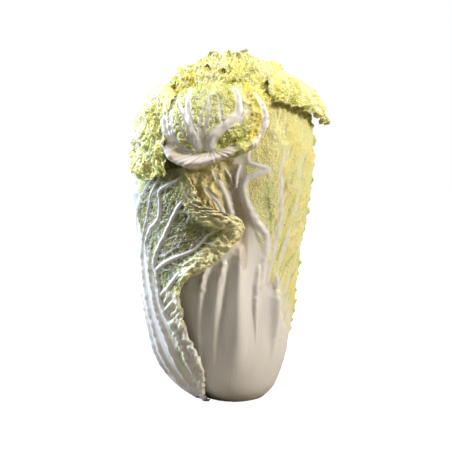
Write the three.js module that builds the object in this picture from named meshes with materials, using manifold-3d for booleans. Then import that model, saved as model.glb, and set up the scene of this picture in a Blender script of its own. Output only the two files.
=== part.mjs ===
// A head of napa cabbage, standing on its trimmed butt.
//
// Millimetres and degrees, +Z up. The origin is the centre of the flat cut at the bottom, and the front is -Y.
// The head is a barrel: one profile curve, turned round the Z axis, is its outer skin. Every leaf is a bent
// sheet laid out on that skin, so a place on it is (azimuth, distance up the profile, lift off the skin).
// Azimuth 0 is the front and grows towards +X. The heart and the butt fill what the leaves enclose.

import * as THREE from "three";
import { mergeVertices } from "three/addons/utils/BufferGeometryUtils.js";
import Module from "manifold-3d";

const wasm = await Module();
wasm.setup();

// ---- Driving dimensions ----

// The skin's profile, from below the cut to the top of the dome: radius, height, and how far the axis leans
// towards +X there.
const PROFILE = [
  [23, -9, 0],
  [32, 0, 0],
  [43.5, 10, -2.5],
  [52.5, 24, -6],
  [59, 41, -8.5],
  [62.5, 62, -9],
  [65.5, 86, -9],
  [68, 114, -9],
  [70, 142, -8.5],
  [73, 170, -7],
  [75, 195, -5.5],
  [75.5, 218, -4],
  [73, 238, -3],
  [66.5, 256, -1],
  [57, 269, 0],
  [43, 280, 1],
  [24, 288, 2],
  [0, 292, 3],
];
const DEPTH = 0.95; // the head's depth over its width
const BELOW = 12.9; // the profile's length below the cut
const GAP = 0.35; // left between leaves that touch
const BLADE = 1.5; // leaf thickness in the blade
const RIB = 5.5; // and in the midrib at its foot
const BUTT = { radius: 24, height: 17 };
const HEART = { inset: 12, foot: 30, top: 318, columns: 22, rows: 13 };
const SLIVER = 0.005; // slivers thinner than this, left by cutting one leaf with another, are dropped
const ACROSS = 8; // cells over a leaf's width
const ALONG = 18; // cells up a leaf's length

const COLOURS = {
  outer_leaf: 0xe3e2c4,
  flap_leaf: 0xd9d08a,
  crown_leaf: 0xe0d27a,
  heart: 0xe9dc8c,
  butt: 0xd8c9a4,
};

// ---- The skin ----

const radii = new THREE.CatmullRomCurve3(
  PROFILE.map(([r, z, lean]) => new THREE.Vector3(r, z, lean)),
);
radii.arcLengthDivisions = 800;
const LENGTH = radii.getLength();
const rad = THREE.MathUtils.degToRad;

// A point of the head: azimuth in degrees, distance up the profile from the cut, lift off the skin.
function onHead(azimuth, up, lift) {
  const share = THREE.MathUtils.clamp((BELOW + up) / LENGTH, 0, 1);
  const p = radii.getPointAt(share);
  const t = radii.getTangentAt(share);
  const size = Math.hypot(t.x, t.y);
  const r = Math.max(0, p.x) + (lift * t.y) / size;
  return new THREE.Vector3(
    p.z + r * Math.sin(rad(azimuth)),
    -r * Math.cos(rad(azimuth)) * DEPTH,
    p.y - (lift * t.x) / size,
  );
}

// ---- Leaves ----

// Each row of a leaf is [up, azimuths, lifts], with its columns spread evenly from the left margin to the right
// one, seen from outside. up is one number, or one for each column.
function alongRow(row, k) {
  const [up, azimuths, lifts] = row;
  return [Array.isArray(up) ? up[k] : up, azimuths[k], lifts[k]];
}

// A smooth value through evenly spaced ones, at t from 0 to 1.
function through(values, t) {
  const x = t * (values.length - 1);
  const i = Math.min(Math.floor(x), values.length - 2);
  const f = x - i;
  const [a, b, c, d] = [-1, 0, 1, 2].map(
    (k) => values[THREE.MathUtils.clamp(i + k, 0, values.length - 1)],
  );
  const bend = 2 * a - 5 * b + 4 * c - d;
  const twist = 3 * (b - c) + d - a;
  return b + 0.5 * f * (c - a + f * (bend + f * twist));
}

// The leaf's outer face at (u, v): u runs from -1 at the left margin to 1, v from 0 at the foot to 1.
function place(rows, u, v) {
  const across = (u + 1) / 2;
  const at = [0, 1, 2].map((part) =>
    through(
      rows.map((row) =>
        through(
          row[1].map((_, k) => alongRow(row, k)[part]),
          across,
        ),
      ),
      v,
    ),
  );
  return onHead(at[1], at[0], at[2]);
}

// How thick the leaf is at (u, v): a fleshy midrib that thins towards the tip and the margins.
function thickness(u, v) {
  const width = 0.75 * (1 - v) ** 0.8 + 0.08;
  const rib = Math.exp(-((u / width) ** 4));
  return BLADE + (RIB - BLADE) * rib * (1 - v) ** 1.2;
}

// A closed shell between the leaf's outer face and the same face pushed in by its thickness. grow makes the
// shell that much bigger on both faces, to cut room for the leaf out of its neighbours.
function leafShell(rows, grow) {
  const positions = [];
  const index = [];
  const wide = ACROSS + 1;
  const faceSize = wide * (ALONG + 1);
  const step = 1e-3;
  for (const inner of [false, true])
    for (let j = 0; j <= ALONG; j++)
      for (let i = 0; i <= ACROSS; i++) {
        const u = (2 * i) / ACROSS - 1;
        const v = j / ALONG;
        const p = place(rows, u, v);
        const du = place(rows, Math.min(u + step, 1), v).sub(
          place(rows, Math.max(u - step, -1), v),
        );
        const dv = place(rows, u, Math.min(v + step, 1)).sub(
          place(rows, u, Math.max(v - step, 0)),
        );
        const out = du.clone().cross(dv).normalize();
        p.addScaledVector(out, inner ? -thickness(u, v) - grow : grow);
        if (i === 0) p.addScaledVector(du.normalize(), -grow);
        if (i === ACROSS) p.addScaledVector(du.normalize(), grow);
        if (j === 0) p.addScaledVector(dv.normalize(), -grow);
        if (j === ALONG) p.addScaledVector(dv.normalize(), grow);
        positions.push(p.x, p.y, p.z);
      }
  const quad = (a, b, c, d) => index.push(a, b, c, a, c, d);
  const at = (i, j, inner) => (inner ? faceSize : 0) + j * wide + i;
  for (let j = 0; j < ALONG; j++)
    for (let i = 0; i < ACROSS; i++) {
      quad(at(i, j, false), at(i + 1, j, false), at(i + 1, j + 1, false), at(i, j + 1, false));
      quad(at(i, j, true), at(i, j + 1, true), at(i + 1, j + 1, true), at(i + 1, j, true));
    }
  for (let i = 0; i < ACROSS; i++) {
    quad(at(i, 0, true), at(i + 1, 0, true), at(i + 1, 0, false), at(i, 0, false));
    quad(at(i, ALONG, false), at(i + 1, ALONG, false), at(i + 1, ALONG, true), at(i, ALONG, true));
  }
  for (let j = 0; j < ALONG; j++) {
    quad(at(0, j, true), at(0, j, false), at(0, j + 1, false), at(0, j + 1, true));
    quad(at(ACROSS, j, false), at(ACROSS, j, true), at(ACROSS, j + 1, true), at(ACROSS, j + 1, false));
  }
  return new THREE.BufferGeometry()
    .setAttribute("position", new THREE.Float32BufferAttribute(positions, 3))
    .setIndex(index);
}

// ---- The leaves' rows ----

const level = (lift) => [lift, lift, lift, lift, lift];

// A leaf of the outer whorl: centred on an azimuth, with the lift of its left and of its right side. The tip
// rounds off over the dome.
function wrapperRows(centre, left, right, tip) {
  const halfWidths = [
    [-8, 39],
    [28, 39],
    [60, 38],
    [100, 42],
    [140, 47],
    [180, 52],
    [215, 55],
    [245, 54],
    [270, 48],
  ];
  const rows = halfWidths.map(([up, half]) => [
    up,
    [-1, -0.5, 0, 0.5, 1].map((u) => centre + u * half),
    [left, left * 0.45, 0, right * 0.45, right],
  ]);
  rows.push([
    [tip - 18, tip - 5, tip, tip - 5, tip - 18],
    [-34, -18, 0, 18, 34].map((a) => centre + a),
    [left, left * 0.5, 0.5, right * 0.5 + 1, right],
  ]);
  return rows;
}

// The feet of an inner leaf, under the outer whorl: three rows at one lift.
function hiddenRows(centre, half, lift) {
  return [24, 90, 155].map((up) => [
    up,
    [-1, -0.5, 0, 0.5, 1].map((u) => centre + u * half),
    level(lift),
  ]);
}

// The left wrapper: its right margin flares out over the front leaf and runs up to a curled point.
function leftWrapperRows() {
  return [
    [-8, [-108, -90, -71, -53, -36], level(0)],
    [26, [-104, -82, -60, -38, -18], level(0)],
    [50, [-105, -80, -56, -34, -13], [0, 0, 0, 0.5, 1]],
    [74, [-106, -82, -58, -38, -22], [0, 0, 0, 0.5, 2]],
    [98, [-108, -84, -61, -42, -26], [0, 0, 0, 0.5, 3]],
    [118, [-110, -86, -63, -41, -23], [0, 0, 0, 1, 5]],
    [134, [-110, -86, -62, -34, -5], [0, 0, 0, 2, 6]],
    [150, [-104, -82, -60, -28, 8], [0, 0, 0, 3, 6]],
    [165, [-91, -74, -55, -24, 15], [0, 0, 0, 3, 7]],
    [176, [-79, -67, -51, -25, 11], [0, 0, 0, 3, 7]],
    [186, [-69, -60, -48, -29, -9], [0, 0, 0, 2, 4]],
    [200, [-60, -53, -44, -31, -17], [0, 0, 0, 0.5, 2]],
    [215, [-52, -47, -40, -33, -24], level(0)],
  ];
}

// The front wrapper: a broad flat midrib with a deep valley at its head, and a big blade to the right of it.
function frontWrapperRows() {
  return [
    [-8, [-40, -13, 15, 43, 70], [-5.5, -2.5, 0, 0, 0]],
    [26, [-38, -12, 16, 48, 80], [-6.5, -3, 0, 0, 0]],
    [50, [-36, -10, 18, 53, 88], [-7, -4, 0, 0, 1]],
    [74, [-35, -10, 18, 55, 92], [-7, -4, 0, 0, 2]],
    [98, [-34, -10, 17, 56, 93], [-7, -4, 0, 0, 2.5]],
    [122, [-34, -11, 15, 55, 94], [-7, -4.5, -1, 0, 3]],
    [146, [-34, -12, 12, 53, 93], [-7, -5, -3, 1, 3]],
    [170, [-35, -13, 10, 50, 92], [-7, -5, -7, 2, 3]],
    [192, [-36, -14, 9, 47, 92], [-6, -4, -8, 2, 3]],
    [[207, 208, 212, 222, 224], [-36, -14, 9, 45, 91], [-5, -3, -7, 1, 3]],
    [[213, 214, 222, 246, 250], [-34, -13, 10, 43, 86], [-5, -4, -5, 1, 2]],
    [[217, 218, 230, 268, 274], [-31, -12, 12, 42, 79], [-5, -4, -5, 0, 0]],
    [[220, 221, 235, 284, 286], [-28, -11, 14, 42, 72], [-5, -4, -6, -2, -3]],
  ];
}

// The folded leaf at the top of the front: it comes out over the front wrapper's head in a rolled lip, and its
// blade fans out above that up to the crown.
function foldedRows() {
  return [
    ...hiddenRows(-12, 30, -12),
    [[198, 192, 190, 192, 198], [-42, -27, -13, 1, 15], level(-14)],
    [[227, 213, 211, 218, 227], [-43, -28, -14, 0, 15], [-7, -7, -8, -9, -9]],
    [[236, 221, 219, 226, 235], [-44, -29, -14, 2, 19], [4, 7, 8, 8, 5]],
    [[244, 231, 229, 235, 243], [-46, -31, -14, 4, 24], [3, 2, 1, 2, 3]],
    [[254, 245, 243, 248, 254], [-47, -32, -13, 6, 28], [4, 5, 5, 5, 4]],
    [[267, 264, 263, 265, 268], [-46, -31, -12, 9, 29], [4, 5, 6, 6, 4]],
    [[281, 283, 285, 286, 284], [-44, -30, -11, 9, 29], [1, 3, 4, 4, 2]],
    [[290, 297, 300, 300, 295], [-40, -26, -10, 8, 26], level(-3)],
  ];
}

// The right flap: its tip folds out over the front wrapper's blade like an eave.
function rightFlapRows() {
  return [
    ...hiddenRows(66, 34, -13),
    [210, [34, 50, 66, 84, 102], level(-13)],
    [262, [36, 51, 66, 83, 100], level(-10)],
    [[289, 294, 296, 294, 289], [38, 52, 66, 82, 98], level(-5)],
    [[293, 300, 303, 300, 294], [37, 51, 66, 83, 100], [1, 3, 4, 4, 3]],
    [[286, 290, 290, 285, 281], [34, 50, 66, 84, 102], [5, 7, 9, 10, 9]],
    [[277, 277, 271, 264, 263], [30, 48, 66, 86, 106], [8, 11, 14, 15, 12]],
    [[269, 264, 255, 247, 251], [27, 46, 67, 88, 108], [8, 11, 15, 18, 15]],
  ];
}

// The left flap: a thin blade that hangs down outside the left wrapper's top.
function leftFlapRows() {
  return [
    ...hiddenRows(-66, 34, -11),
    [210, [-100, -83, -66, -50, -34], level(-11)],
    [255, [-98, -82, -66, -51, -37], level(-10)],
    [[272, 278, 280, 278, 272], [-97, -81, -66, -52, -39], level(-3)],
    [[272, 281, 284, 281, 273], [-98, -82, -66, -52, -40], [4, 5, 6, 6, 5]],
    [[257, 262, 262, 260, 255], [-100, -83, -67, -52, -39], [5, 6, 7, 7, 6]],
    [[243, 243, 238, 236, 236], [-102, -84, -67, -50, -37], [4, 5, 6, 7, 6]],
    [[230, 224, 216, 214, 218], [-102, -84, -66, -48, -35], [3, 4, 6, 7, 6]],
    [[221, 214, 207, 206, 211], [-100, -83, -65, -47, -34], [4, 5, 7, 8, 7]],
  ];
}

// A leaf of the crown, closing over the dome: its last rows lie outside the leaves below it.
function crownRows(centre, half, tip, rise) {
  const across = (width) => [-1, -0.5, 0, 0.5, 1].map((u) => centre + u * width);
  return [
    ...hiddenRows(centre, 30, -14),
    [215, across(32), level(-15)],
    [[262, 268, 270, 268, 262], across(half), level(-11)],
    [[280, 288, 291, 288, 280], across(half + 6), level(-3)],
    [[291, 300, 304, 300, 291], across(half + 14), level(rise * 0.6)],
    [[303, 313, 317, 313, 303], across(half + 24), level(rise)],
    [[310, 324, tip - 4, 324, 310], across(half + 34), [rise, rise + 2, rise + 5, rise + 2, rise]],
    [[314, 330, tip, 330, 314], across(half + 40), [rise - 1, rise + 3, rise + 7, rise + 3, rise - 1]],
  ];
}

const LEAVES = [
  ["left_wrapper_leaf", "outer_leaf", leftWrapperRows()],
  ["front_wrapper_leaf", "outer_leaf", frontWrapperRows()],
  ["right_wrapper_leaf", "outer_leaf", wrapperRows(104, -6.5, 1, 286)],
  ["back_wrapper_leaf", "outer_leaf", wrapperRows(172, -6.5, 1, 291)],
  ["left_back_wrapper_leaf", "outer_leaf", wrapperRows(-116, -6.5, -6, 278)],
  ["left_flap_leaf", "flap_leaf", leftFlapRows()],
  ["right_flap_leaf", "flap_leaf", rightFlapRows()],
  ["folded_top_leaf", "flap_leaf", foldedRows()],
  ["crown_right_leaf", "crown_leaf", crownRows(46, 26, 340, 2.5)],
  ["crown_front_leaf", "crown_leaf", crownRows(-22, 24, 336, 2)],
  ["crown_left_leaf", "crown_leaf", crownRows(-92, 24, 334, 0.5)],
  ["crown_back_leaf", "crown_leaf", crownRows(166, 34, 338, -1.5)],
];

// ---- The heart and the butt ----

// The packed inner leaves as one body: the skin drawn in by HEART.inset, closed below and above.
function heartBody() {
  const { columns, rows, foot, top, inset } = HEART;
  const positions = [];
  const index = [];
  for (let j = 0; j <= rows; j++)
    for (let i = 0; i < columns; i++) {
      const up = foot + ((top - foot) * j) / rows;
      const p = onHead((360 * i) / columns, up, -inset);
      positions.push(p.x, p.y, p.z);
    }
  const low = positions.length / 3;
  positions.push(0, 0, BUTT.height + GAP);
  const high = low + 1;
  const crest = onHead(0, LENGTH, -inset + 3);
  positions.push(crest.x, 0, crest.z);
  for (let i = 0; i < columns; i++) {
    const next = (i + 1) % columns;
    for (let j = 0; j < rows; j++) {
      const a = j * columns + i;
      const b = j * columns + next;
      index.push(a, b, b + columns, a, b + columns, a + columns);
    }
    index.push(low, next, i);
    index.push(high, rows * columns + i, rows * columns + next);
  }
  return new THREE.BufferGeometry()
    .setAttribute("position", new THREE.Float32BufferAttribute(positions, 3))
    .setIndex(index);
}

// The stem's stub inside the leaves' feet, cut flat at the bottom.
function buttBody() {
  const { radius, height } = BUTT;
  const outline = [
    [0, 0],
    [radius, 0],
    [radius + 1.5, height * 0.4],
    [radius, height * 0.75],
    [radius * 0.7, height * 0.95],
    [0, height],
  ].map(([r, z]) => new THREE.Vector2(r, z));
  return new THREE.LatheGeometry(outline, 36).rotateX(Math.PI / 2);
}

// ---- Joining, cutting and naming ----

function solid(geometry) {
  geometry.deleteAttribute("normal");
  geometry.deleteAttribute("uv");
  const g = mergeVertices(geometry, 1e-5);
  return new wasm.Manifold(
    new wasm.Mesh({
      numProp: 3,
      vertProperties: Float32Array.from(g.attributes.position.array),
      triVerts: Uint32Array.from(g.index.array),
    }),
  );
}

// What lies above the cut.
function standing(body) {
  return body.trimByPlane([0, 0, 1], 0);
}

function largestPart(body) {
  return body.decompose().sort((a, b) => b.volume() - a.volume())[0];
}

function mesh(name, material, body) {
  const { vertProperties, triVerts } = body.getMesh();
  const geometry = new THREE.BufferGeometry()
    .setAttribute("position", new THREE.Float32BufferAttribute(vertProperties, 3))
    .setIndex([...triVerts]);
  geometry.computeVertexNormals();
  const look = { color: COLOURS[material], roughness: 0.5, metalness: 0 };
  const result = new THREE.Mesh(geometry, new THREE.MeshStandardMaterial(look));
  result.name = name;
  return result;
}

const group = new THREE.Group();
group.name = "napa_cabbage";

let taken = null;

// Adds a body to the part, less the room that the pieces before it need.
function add(name, material, body) {
  const left = taken ? largestPart(body.subtract(taken)) : body;
  group.add(mesh(name, material, standing(left).simplify(SLIVER)));
}

for (const [name, material, rows] of LEAVES) {
  const leaf = solid(leafShell(rows, 0));
  add(name, material, leaf);
  const room = leaf.add(solid(leafShell(rows, GAP)));
  taken = taken ? taken.add(room) : room;
}
add("stem_butt", "butt", solid(buttBody()));
add("heart_leaves", "heart", solid(heartBody()));

export default group;
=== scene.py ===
"""The looks of the napa cabbage, over its CAD frame.

Every leaf is a thin crumpled sheet laid out on the head's skin, as in the CAD. A place is (azimuth, distance
up the profile from the cut, lift off the skin), in degrees and millimetres. Relief, ribs, blisters and frills
are worked out in leaf coordinates, and the same values colour the leaf through its node material.
"""

import math

import bpy
import numpy as np
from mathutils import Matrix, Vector


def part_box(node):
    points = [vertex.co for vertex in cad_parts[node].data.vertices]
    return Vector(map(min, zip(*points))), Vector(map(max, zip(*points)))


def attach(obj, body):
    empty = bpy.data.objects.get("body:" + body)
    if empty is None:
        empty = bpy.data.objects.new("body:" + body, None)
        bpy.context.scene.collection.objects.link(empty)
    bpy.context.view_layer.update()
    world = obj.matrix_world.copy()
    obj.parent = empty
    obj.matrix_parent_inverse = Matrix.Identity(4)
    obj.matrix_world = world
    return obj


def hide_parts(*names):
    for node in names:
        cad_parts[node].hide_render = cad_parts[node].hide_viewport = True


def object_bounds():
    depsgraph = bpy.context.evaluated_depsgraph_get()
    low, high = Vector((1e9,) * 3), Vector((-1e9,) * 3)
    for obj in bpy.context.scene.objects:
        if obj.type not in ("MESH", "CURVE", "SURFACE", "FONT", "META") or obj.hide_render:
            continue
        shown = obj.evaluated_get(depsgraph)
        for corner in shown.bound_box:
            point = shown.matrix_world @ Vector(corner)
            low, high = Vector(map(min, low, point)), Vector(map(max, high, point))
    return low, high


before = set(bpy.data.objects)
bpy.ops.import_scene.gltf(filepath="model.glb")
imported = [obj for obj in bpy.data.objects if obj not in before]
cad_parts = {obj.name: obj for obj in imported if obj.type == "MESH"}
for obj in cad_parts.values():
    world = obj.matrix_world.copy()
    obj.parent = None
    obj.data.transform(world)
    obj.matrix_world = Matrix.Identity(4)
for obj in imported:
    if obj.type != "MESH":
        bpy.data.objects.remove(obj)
cad_low, cad_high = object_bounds()

CAD_HEIGHT = 300.36  # of the design that the tables below describe, mm
SCALE = (cad_high.z - cad_low.z) / CAD_HEIGHT  # metres for each millimetre of the tables

# ---- The head's skin ----

# Radius, height and lean of the axis towards +X, from below the cut to the top of the dome.
PROFILE = [
    (23, -9, 0),
    (32, 0, 0),
    (43.5, 10, -2.5),
    (52.5, 24, -6),
    (59, 41, -8.5),
    (62.5, 62, -9),
    (65.5, 86, -9),
    (68, 114, -9),
    (70, 142, -8.5),
    (73, 170, -7),
    (75, 195, -5.5),
    (75.5, 218, -4),
    (73, 238, -3),
    (66.5, 256, -1),
    (57, 269, 0),
    (43, 280, 1),
    (24, 288, 2),
    (0, 292, 3),
]
DEPTH = 0.95  # the head's depth over its width
BELOW = 12.9  # length of the profile below the cut
SAMPLES = 3000  # points on the smooth profile
RISING = 2400  # the first of them, on which the height always rises
SPREAD = 70.0  # arc radius that turns an azimuth into millimetres for drawing ribs


def through(values, t):
    """A smooth curve through evenly spaced values, at each t from 0 to 1."""
    values = np.asarray(values, float)
    last = len(values) - 1
    x = np.clip(t, 0, 1) * last
    i = np.minimum(x.astype(int), last - 1)
    f = (x - i).reshape(x.shape + (1,) * (values.ndim - 1))
    a, b, c, d = (values[np.clip(i + k, 0, last)] for k in (-1, 0, 1, 2))
    return b + 0.5 * f * (c - a + f * (2 * a - 5 * b + 4 * c - d + f * (3 * (b - c) + d - a)))


CURVE = through(PROFILE, np.linspace(0, 1, SAMPLES))
STEPS = np.linalg.norm(np.diff(CURVE, axis=0), axis=1)
UP = np.concatenate([[0], np.cumsum(STEPS)]) - BELOW
SLOPE = np.gradient(CURVE[:, :2], axis=0)
SLOPE /= np.linalg.norm(SLOPE, axis=1)[:, None]


def on_head(azimuth, up, lift):
    """Points of the head, in millimetres."""
    r, z, lean = (np.interp(up, UP, CURVE[:, k]) for k in range(3))
    tr, tz = (np.interp(up, UP, SLOPE[:, k]) for k in range(2))
    a = np.radians(azimuth)
    out = np.maximum(r, 0) + lift * tz
    return np.stack([lean + out * np.sin(a), -out * np.cos(a) * DEPTH, z - lift * tr], -1)


def front(x, z):
    """Where a point that is seen from the front at (x, z) lies on the skin: (arc in mm, up)."""
    up = np.interp(z, CURVE[:RISING, 1], UP[:RISING])
    r, lean = (np.interp(up, UP, CURVE[:, k]) for k in (0, 2))
    azimuth = np.arcsin(np.clip((x - lean) / r, -1, 1))
    return azimuth * SPREAD, up


# ---- Repeatable noise ----


def lattice(ix, iy, seed):
    """A number from 0 to 1 for each whole-numbered place."""
    h = (ix.astype(np.int64) * 374761393 + iy.astype(np.int64) * 668265263 + seed * 974634777) & 0xFFFFFFFF
    h = ((h ^ (h >> 13)) * 1274126177) & 0xFFFFFFFF
    h ^= h >> 16
    return (h & 0xFFFFFF) / float(0x1000000)


def noise(x, y, seed):
    """Gradient noise, about -1 to 1."""
    ix, iy = np.floor(x), np.floor(y)
    fx, fy = x - ix, y - iy
    sx, sy = (f * f * f * (f * (f * 6 - 15) + 10) for f in (fx, fy))

    def corner(dx, dy):
        turn = 2 * math.pi * lattice(ix + dx, iy + dy, seed)
        return np.cos(turn) * (fx - dx) + np.sin(turn) * (fy - dy)

    low = corner(0, 0) * (1 - sx) + corner(1, 0) * sx
    high = corner(0, 1) * (1 - sx) + corner(1, 1) * sx
    return 1.5 * (low * (1 - sy) + high * sy)


def rough(x, y, seed, octaves=4):
    """Noise with finer noise on it, about -1 to 1."""
    total = np.zeros(np.broadcast(x, y).shape)
    for k in range(octaves):
        total += noise(x * 2**k, y * 2**k, seed + 17 * k) / 2**k
    return total / 1.6


def folded(x, y, seed, octaves=3):
    """Crumpled relief with sharp crests and rounded hollows, about -1 to 1."""
    total, share = np.zeros(np.broadcast(x, y).shape), 0.0
    for k in range(octaves):
        crest = 1 - 2.2 * np.abs(noise(x * 1.9**k + 7.3 * k, y * 1.9**k, seed + 13 * k))
        total += crest / 1.7**k
        share += 1 / 1.7**k
    return np.clip(total / share, -1, 1)


def cells(x, y, seed):
    """Distances to the nearest and second nearest of scattered points, one in each unit square."""
    ix, iy = np.floor(x), np.floor(y)
    near = np.full(x.shape, 9.0)
    second = near.copy()
    for dx in (-1, 0, 1):
        for dy in (-1, 0, 1):
            cx, cy = ix + dx, iy + dy
            px = cx + 0.1 + 0.8 * lattice(cx, cy, seed)
            py = cy + 0.1 + 0.8 * lattice(cx, cy, seed + 1)
            d = np.hypot(x - px, y - py)
            second = np.minimum(second, np.maximum(near, d))
            near = np.minimum(near, d)
    return near, second


def ramp(low, high, x):
    """0 below low, 1 above high, smooth between them. low may be the larger."""
    t = np.clip((x - low) / (high - low), 0, 1)
    return t * t * (3 - 2 * t)


# ---- Leaves as sheets ----

HIDDEN_ROWS = 0.14  # share of a sheet's rows that its hidden stretch gets


def unit(vectors):
    return vectors / np.maximum(np.linalg.norm(vectors, axis=2, keepdims=True), 1e-9)


class Sheet:
    """A leaf's outer face as a grid, with its leaf coordinates in millimetres."""

    def __init__(self, rows, wide, tall, hidden=0.0):
        table = []
        for up, azimuths, lifts in rows:
            ups = np.broadcast_to(up, len(azimuths))
            table.append(np.stack([ups, azimuths, lifts], -1))
        few = int(tall * HIDDEN_ROWS) if hidden else 0
        v = np.linspace(hidden, 1, tall - few)
        if few:
            v = np.concatenate([np.linspace(0, hidden, few, endpoint=False), v])
        u = np.linspace(-1, 1, wide)
        grid = through(np.swapaxes(through(table, v), 0, 1), (u + 1) / 2)
        self.up, self.azimuth, self.lift = (grid[:, :, k].T for k in range(3))
        self.u, self.v = np.meshgrid(u, v)
        self.points = on_head(self.azimuth, self.up, self.lift)
        du, dv = np.gradient(self.points, axis=1), np.gradient(self.points, axis=0)
        self.du, self.dv, self.out = unit(du), unit(dv), unit(np.cross(du, dv))
        middle = wide // 2
        across = np.linalg.norm(np.diff(self.points, axis=1), axis=2)
        along = np.linalg.norm(np.diff(self.points, axis=0), axis=2)
        x = np.concatenate([np.zeros((tall, 1)), np.cumsum(across, axis=1)], axis=1)
        self.x = x - x[:, middle : middle + 1]
        self.y = np.concatenate([np.zeros((1, wide)), np.cumsum(along, axis=0)], axis=0)
        self.arc = np.radians(self.azimuth) * SPREAD
        self.left = self.x - self.x[:, :1]
        self.right = self.x[:, -1:] - self.x
        self.top = self.y[-1:, :] - self.y


FAR = 20.0  # the distance that ribs gives where none is near


def ribs(x, y, lines):
    """Raised ribs, each (widths along it, points): height, whiteness and the distance to the nearest."""
    height, white, away = np.zeros(x.shape), np.zeros(x.shape), np.full(x.shape, FAR)
    for widths, points in lines:
        widths = np.atleast_1d(widths).astype(float)
        track = through(points, np.linspace(0, 1, 4 * len(points) - 5))
        wide = np.interp(np.linspace(0, 1, len(track)), np.linspace(0, 1, len(widths)), widths)
        margin = 1.5 * wide.max() + 6
        low, high = track.min(0) - margin, track.max(0) + margin
        pick = (x > low[0]) & (x < high[0]) & (y > low[1]) & (y < high[1])
        if not pick.any():
            continue
        px, py = x[pick], y[pick]
        best, thick, far = np.full(px.shape, 9.0), np.ones(px.shape), np.full(px.shape, FAR)
        for k in range(len(track) - 1):
            (ax, ay), (bx, by) = track[k], track[k + 1]
            size = (bx - ax) ** 2 + (by - ay) ** 2 + 1e-9
            t = np.clip(((px - ax) * (bx - ax) + (py - ay) * (by - ay)) / size, 0, 1)
            w = wide[k] + (wide[k + 1] - wide[k]) * t
            d = np.hypot(px - ax - t * (bx - ax), py - ay - t * (by - ay))
            q = d / (w / 2)
            closer = q < best
            best, thick = np.where(closer, q, best), np.where(closer, w, thick)
            far = np.minimum(far, np.maximum(d - w / 2, 0))
        bulge = 0.26 * thick * np.exp(-best**2) + 0.10 * thick * np.exp(-((best / 1.9) ** 2))
        bulge = bulge * (1 + 0.3 * ramp(9, 7.5, thick) * noise(px / 5, py / 5, 3))
        height[pick] = np.maximum(height[pick], bulge)
        white[pick] = np.maximum(white[pick], ramp(1.7, 0.8, best) * ramp(0.1, 1.6, thick))
        away[pick] = np.minimum(away[pick], far)
    return height, white, away


def branches(lines, seed, spacing, reach, width, turn=48):
    """Side veins that leave each rib to both sides in turn, reach long and width thick."""
    rng = np.random.default_rng(seed)
    made = []
    for widths, points in lines:
        widths = np.atleast_1d(widths).astype(float)
        track = through(points, np.linspace(0, 1, 6 * len(points)))
        steps = np.linalg.norm(np.diff(track, axis=0), axis=1)
        along = np.concatenate([[0], np.cumsum(steps)])
        place, side = spacing * rng.uniform(0.4, 1.0), rng.choice((-1, 1))
        while place < along[-1] - 1.0:
            k = min(np.searchsorted(along, place), len(track) - 1)
            here = track[k]
            ahead = (track[k] - track[k - 1]) / max(steps[k - 1], 1e-6)
            angle = math.radians(side * turn * rng.uniform(0.75, 1.25))
            cos, sin = math.cos(angle), math.sin(angle)
            away = np.array([ahead[0] * cos - ahead[1] * sin, ahead[0] * sin + ahead[1] * cos])
            length = reach * rng.uniform(0.6, 1.2)
            middle = here + away * length * 0.5 + rng.normal(0, 0.06, 2) * length
            end = here + away * length * 0.9 + ahead * length * 0.35
            thick = min(width, 0.55 * np.interp(place, (0, along[-1]), (widths[0], widths[-1])) + 0.3)
            made.append(((thick, thick * 0.7, thick * 0.25), [tuple(here), tuple(middle), tuple(end)]))
            place += spacing * rng.uniform(0.35, 0.7)
            side = -side
    return made


def veined(x, y, lines, seed, spacing, reach, width):
    """The ribs with two generations of side veins: height, whiteness and the distance to the nearest."""
    second = branches(lines, seed, spacing, reach, width)
    third = branches(second, seed + 1, spacing * 0.55, reach * 0.42, width * 0.6)
    return ribs(x, y, [*lines, *second, *third])


def seen(lines):
    """Ribs given as (width, [(x, z), ...]) seen from the front, laid on the skin."""
    laid = []
    for width, points in lines:
        px, pz = np.array(points, float).T
        laid.append((width, np.stack(front(px, pz), -1)))
    return laid


def drawn(sheet, lines):
    """Ribs seen from the front, without side veins."""
    return ribs(sheet.arc, sheet.up, seen(lines))


def lumps(x, y, cell, seed):
    """Rounded lumps about cell wide with sharp creases between them, 0 to 1, and how near a crease is."""
    wx = x / cell + 0.45 * noise(x / cell / 1.5, y / cell / 1.5, seed + 5)
    wy = y / cell + 0.45 * noise(x / cell / 1.5, y / cell / 1.5, seed + 6)
    nearest, second = cells(wx, wy, seed)
    gap = np.clip(second - nearest, 0, 1)
    return np.sqrt(gap), ramp(0.22, 0.0, gap)


def pinnate(seed, foot, spread, reach, count, width):
    """A plain leaf's veins, in leaf coordinates: side veins that leave the midrib and arch to the margin."""
    rng = np.random.default_rng(seed)
    middle = [(0, foot * 0.4), (rng.normal(0, 2), foot + 40), (rng.normal(0, 4), foot + 170)]
    lines = [((width * 2, width * 1.3, width * 0.3), middle)]
    for side in (-1, 1):
        for k in range(count):
            y = foot + k * spread + rng.normal(0, 2.5)
            x = side * max(2.0, 13 - k * 1.3)
            lean = rng.uniform(0.8, 1.15)
            track = [(x * 0.5, y - 35), (x, y)]
            for step in range(1, 5):
                share = step / 4
                rise = reach * lean * share**0.85 + rng.normal(0, 1.5)
                track.append((x + side * reach * share, y + rise))
            thick = width * (1 - 0.06 * k)
            lines.append(((thick, thick * 0.8, thick * 0.2), track))
    return lines


# ---- From sheets to meshes ----

TURNED = (0, 3, 2, 1)  # a face's corners, to face the other way


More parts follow.
